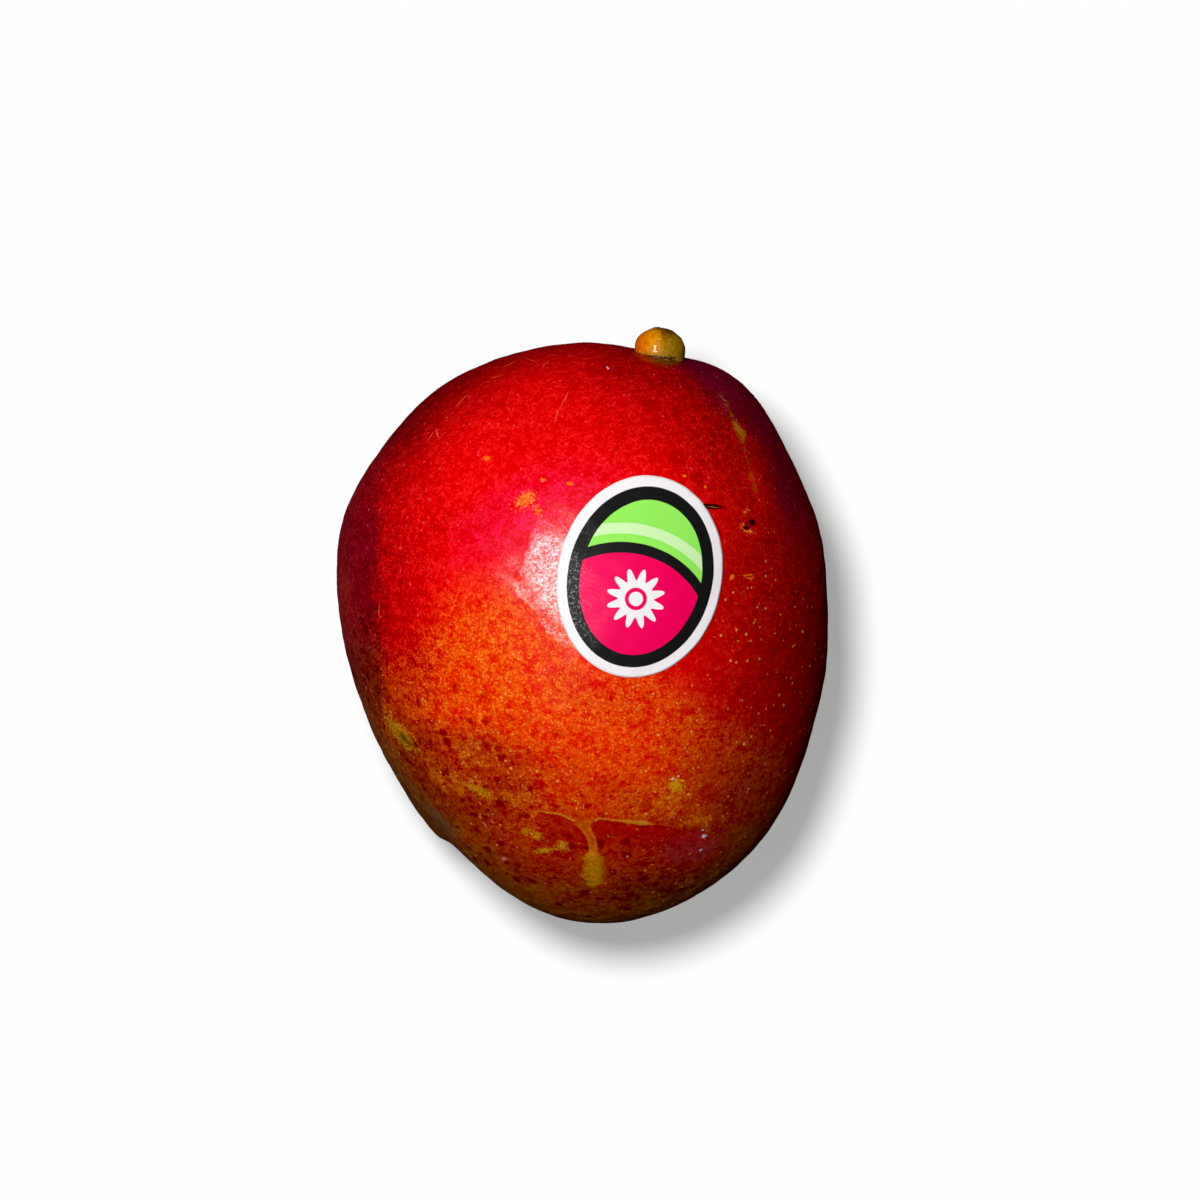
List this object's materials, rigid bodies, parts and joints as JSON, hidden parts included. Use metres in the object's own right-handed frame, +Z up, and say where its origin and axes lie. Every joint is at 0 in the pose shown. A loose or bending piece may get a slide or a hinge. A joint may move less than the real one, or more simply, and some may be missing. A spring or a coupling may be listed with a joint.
{
  "type": "mango",
  "caption": "Ripe red mango lying on its cheek, with a short stem stub, a low beak near the tip and a plain oval fruit sticker; a flat spot underneath keeps it still.",
  "frame": {"origin": "on the surface that the fruit rests on, under the middle of its bounding box", "axes": "+Y towards the stem end, along the longest extent; +Z up, through the two cheeks, the shortest extent; -X towards the belly side, which has the beak, and +X towards the back"},
  "size_m": [0.0926, 0.1121, 0.0833],
  "materials": {
    "skin": "waxy, semi-gloss, with fine speckles",
    "stem": "smooth, slightly glossy",
    "label": "glossy printed film"
  },
  "bodies": {
    "root": {"fruit": "skin", "stem_stub": "stem", "label": "label"}
  },
  "joints": []
}
